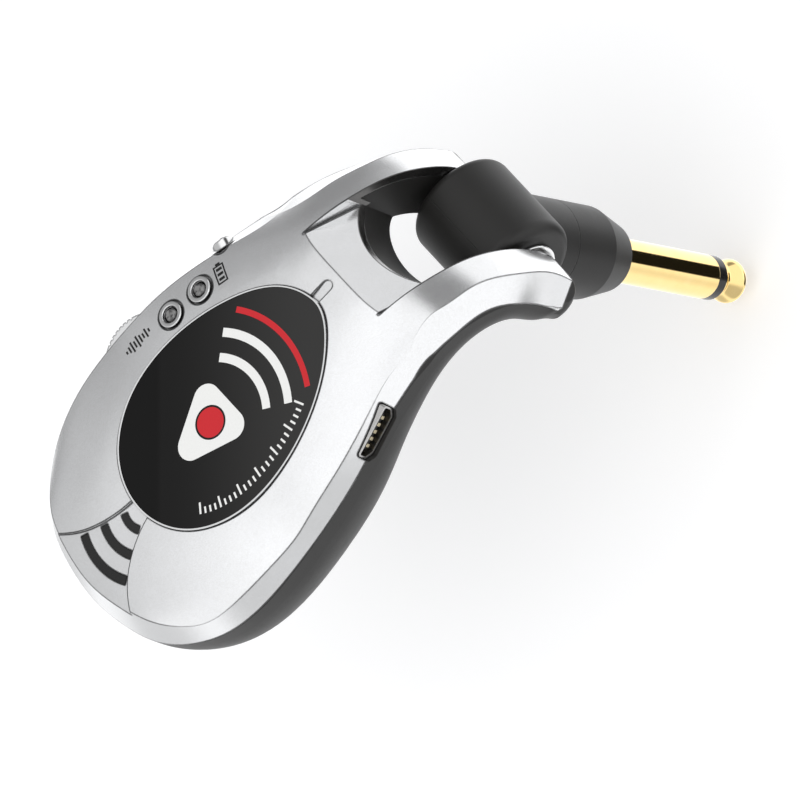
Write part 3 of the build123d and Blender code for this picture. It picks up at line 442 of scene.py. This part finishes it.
def battery_symbol():
    """A standing battery outline with three charge bars."""
    wide, high, line = 1.75, 3.1, 0.22
    shapes = [bar(0, s * (high - line) / 2, wide, line) for s in (-1, 1)]
    shapes += [bar(s * (wide - line) / 2, 0, line, high - 2 * line) for s in (-1, 1)]
    shapes.append(bar(0, high / 2 + 0.2, 0.75, 0.32))
    shapes += [bar(0, (k - 1) * 0.82, 0.95, 0.42) for k in range(3)]
    return shapes


def sound_symbol():
    """A row of upright bars, like a short burst of sound."""
    heights = (0.5, 1.1, 1.9, 1.2, 2.1, 1.4, 0.9, 1.6, 0.6)
    return [bar((k - 4) * 0.58, 0, 0.28, h) for k, h in enumerate(heights)]


lay_print("battery_mark", battery_symbol(), (11.8, 14.85, 4), (0.96, -0.28, 0), (0.28, 0.96, 0), FRONT,
          "dark_insert")
lay_print("sound_mark", sound_symbol(), (-3.6, 18.35, 4), (0.995, -0.1, 0), (0.1, 0.995, 0), FRONT,
          "dark_insert")


def dial_ticks():
    """Tick marks along the near edge of the badge, every fourth one longer, as on a tuning dial."""
    shapes = []
    for k in range(25):
        t = math.radians(-141 + k * 3.3)
        x = 16.6 * math.cos(t)
        y = 11.2 * math.sin(t) * (1 - 0.008 * x)
        slope = math.degrees(math.atan2(y / 11.2**2, x / 16.6**2))
        high = 1.7 if k % 4 == 0 else 0.95
        shift = (1.7 - high) / 2
        out = math.radians(slope)
        centre = (x - 0.15 + shift * math.cos(out), y + shift * math.sin(out))
        shapes.append(bar(*centre, 0.3, high, slope - 90))
    return shapes


lay_print("badge_dial", dial_ticks(), (0, 0, 4), (1, 0, 0), (0, 1, 0), BADGE, "inlay_white")

# The switch is marked with the standard power symbol, the button with a short row of dots.
POWER_MARK = arc_strip(0, 0, 0.85, 1.1, 120, 420) + [bar(0, 0.75, 0.25, 1.2)]
lay_print("power_mark", POWER_MARK, (4.4, 30, -5.9), (-1, 0.02, 0), (0, 0, 1), SIDE, "inlay_white")
CHANNEL_MARK = [dot_shape(3.75 * math.cos(t), 3.75 * math.sin(t), 0.2 + 0.035 * k)
                for k, t in enumerate(math.radians(a) for a in (205, 230, 255, 280, 305, 330))]
lay_print("channel_mark", CHANNEL_MARK, (16.4, 29.7, -4.6), (-0.972, 0.234, 0), (0, 0, 1), SIDE,
          "inlay_white")


# ---------------------------------------------------------------- studio
def world_light():
    """Even pale light, with the bright and dark areas of a product studio for mirror-like surfaces only."""
    world = bpy.data.worlds.new("studio")
    bpy.context.scene.world = world
    world.use_nodes = True
    g = Graph(world.node_tree)
    direction = g.add("ShaderNodeTexCoord").outputs["Generated"]
    x, y, z = (g.dot(direction, axis) for axis in ((1, 0, 0), (0, 1, 0), (0, 0, 1)))

    def lobe(centre, inner_deg, outer_deg):
        towards = g.dot(direction, Vector(centre).normalized())
        return g.remap(towards, math.cos(math.radians(outer_deg)), math.cos(math.radians(inner_deg)))

    far = g.remap(y, 0.46, 0.66)
    level = g.level(far, 1.24, 0.36)
    level = g.level(lobe((-0.75, 0.45, 0.45), 15, 45), level, 0.62)
    # a dark strip over the swinging plug draws the dark band across each arm
    flat = g.math("SQRT", g.math("MULTIPLY_ADD", x, x, g.math("MULTIPLY", z, z)))
    arm = g.math("DIVIDE", g.dot(direction, (0.8, 0, 0.6)), g.math("MAXIMUM", flat, 0.001))
    arm = g.math("MULTIPLY", g.remap(arm, 0.9455, 0.9976), g.remap(y, 0.5, 0.36))
    level = g.level(g.math("MULTIPLY", arm, g.remap(y, -0.5, -0.36)), level, 0.1)
    level = g.level(lobe((0.42, 0.86, 0.25), 8, 26), level, 0.2)
    near_low = g.math("MULTIPLY", g.remap(y, -0.5, -0.75), g.remap(z, 0.45, 0.2))
    near_low = g.math("MULTIPLY", near_low, g.remap(x, 0.5, 0.1))
    level = g.level(near_low, level, 0.66)
    level = g.level(lobe((-0.96, 0.03, -0.28), 14, 34), level, 0.72)
    # a narrow dark strip high on the near side draws a fine line along the crease of the cover
    strip = g.math("MULTIPLY", g.remap(y, -0.62, -0.56), g.remap(y, -0.34, -0.42))
    strip = g.math("MULTIPLY", strip, g.remap(x, 0.3, 0.15))
    level = g.level(g.math("MULTIPLY", strip, g.remap(z, 0.4, 0.55)), level, 0.08)
    # below the horizon: a black card beside the plug, between two bright ones
    across = g.math("SQRT", g.math("ADD", g.math("MULTIPLY", x, x), g.math("MULTIPLY", y, y)))
    card = g.math("DIVIDE", g.dot(direction, (0.924, -0.383, 0)), g.math("MAXIMUM", across, 0.001))
    low = g.remap(z, -0.2, -0.35)
    bright = g.remap(g.dot(direction, (0.7, 0.7, 0)), 0.05, 0.3)
    level = g.level(g.math("MULTIPLY", low, bright), level, 1.55)
    deep = g.remap(z, -0.56, -0.66)
    level = g.level(g.math("MULTIPLY", deep, g.remap(card, 0.855, 0.885)), level, 0.012)
    path = g.add("ShaderNodeLightPath")
    seen = g.level(path.outputs["Is Glossy Ray"], 0.72, level)
    seen = g.level(path.outputs["Is Camera Ray"], seen, 0.93)
    shade = g.add("ShaderNodeBackground", {"Color": (0.985, 0.99, 1, 1), "Strength": seen})
    out = g.add("ShaderNodeOutputWorld")
    g.tree.links.new(shade.outputs[0], out.inputs["Surface"])


def softbox(name, direction, distance, size, power):
    data = bpy.data.lights.new(name, "AREA")
    data.shape, data.size, data.energy = "DISK", size, power
    lamp = bpy.data.objects.new(name, data)
    bpy.context.scene.collection.objects.link(lamp)
    towards = Vector(direction).normalized()
    lamp.location = AIM + towards * distance
    lamp.rotation_mode = "QUATERNION"
    lamp.rotation_quaternion = towards.to_track_quat("Z", "Y")
    lamp.visible_camera = False
    lamp.visible_glossy = False
    return lamp


FLOOR_RADIUS = 1.6
FLOOR_GAP = 1.5 * MM  # from the lowest point of the plug down to the floor
FLOOR_FADE = (0.5, 1.5)  # distance from the middle where the floor starts to fade, and where it is gone


def pale_floor():
    """A round pale floor just under the plug, which fades out to the backdrop and is clear from below."""
    bm = bmesh.new()
    bmesh.ops.create_circle(bm, cap_ends=True, segments=96, radius=FLOOR_RADIUS)
    mesh = bpy.data.meshes.new("floor")
    bm.to_mesh(mesh)
    bm.free()
    floor = bpy.data.objects.new("floor", mesh)
    floor.location = (0, 0, CAD_BOX[0].z - FLOOR_GAP)
    bpy.context.scene.collection.objects.link(floor)
    material = bpy.data.materials.new("pale_floor")
    material.use_nodes = True
    g = Graph(material.node_tree)
    place = g.add("ShaderNodeTexCoord").outputs["Object"]
    cloud = g.add("ShaderNodeTexNoise", {"Vector": place, "Scale": 9.0, "Detail": 4.0}).outputs["Fac"]
    colour = g.mix(cloud, (0.90, 0.90, 0.90, 1), (0.92, 0.92, 0.925, 1))
    paper = g.add("ShaderNodeBsdfDiffuse", {"Color": colour})
    glow = g.add("ShaderNodeEmission", {"Color": (1, 1, 1, 1), "Strength": 0.22})
    matte = g.add("ShaderNodeAddShader", {0: paper.outputs[0], 1: glow.outputs[0]})
    clear = g.add("ShaderNodeBsdfTransparent")
    out_there = g.add("ShaderNodeVectorMath", {0: place}, operation="LENGTH").outputs["Value"]
    far = g.remap(out_there, *FLOOR_FADE)
    behind = g.add("ShaderNodeNewGeometry").outputs["Backfacing"]
    gone = g.math("MAXIMUM", far, behind)
    both = g.add("ShaderNodeMixShader", {0: gone, 1: matte.outputs[0], 2: clear.outputs[0]})
    out = g.add("ShaderNodeOutputMaterial")
    g.tree.links.new(both.outputs[0], out.inputs["Surface"])
    mesh.materials.append(material)
    floor.visible_glossy = False


# The camera's axes, the point it looks at, and how much it sees there.
RIGHT = Vector((0.6227, -0.5772, -0.5283)).normalized()
UP = Vector((0.7535, 0.6243, 0.2061))
UP = (UP - RIGHT * UP.dot(RIGHT)).normalized()
BACK = RIGHT.cross(UP)
AIM = RIGHT * 24.2 * MM + UP * 0.4 * MM - BACK * 20 * MM
FRAME_WIDE = 112 * MM
LENS_MM = 1500.0
SENSOR_MM = 36.0


def photo_camera():
    data = bpy.data.cameras.new("camera")
    data.lens, data.sensor_width = LENS_MM, SENSOR_MM
    camera = bpy.data.objects.new("camera", data)
    bpy.context.scene.collection.objects.link(camera)
    turn = Matrix((RIGHT, UP, BACK)).transposed()
    away = FRAME_WIDE * LENS_MM / SENSOR_MM
    camera.matrix_world = Matrix.Translation(AIM + BACK * away) @ turn.to_4x4()
    data.clip_start, data.clip_end = 0.1, 20.0
    bpy.context.scene.camera = camera


world_light()
softbox("key", (-0.15, -0.35, 1.0), 0.7, 0.5, 1.5)
softbox("fill", (-0.9, -0.5, 0.5), 0.9, 0.6, 0.6)
softbox("rim", (0.9, 0.5, 0.5), 0.8, 0.3, 0.12)
pale_floor()
photo_camera()
bpy.context.scene.view_settings.view_transform = "Standard"

bpy.context.view_layer.update()
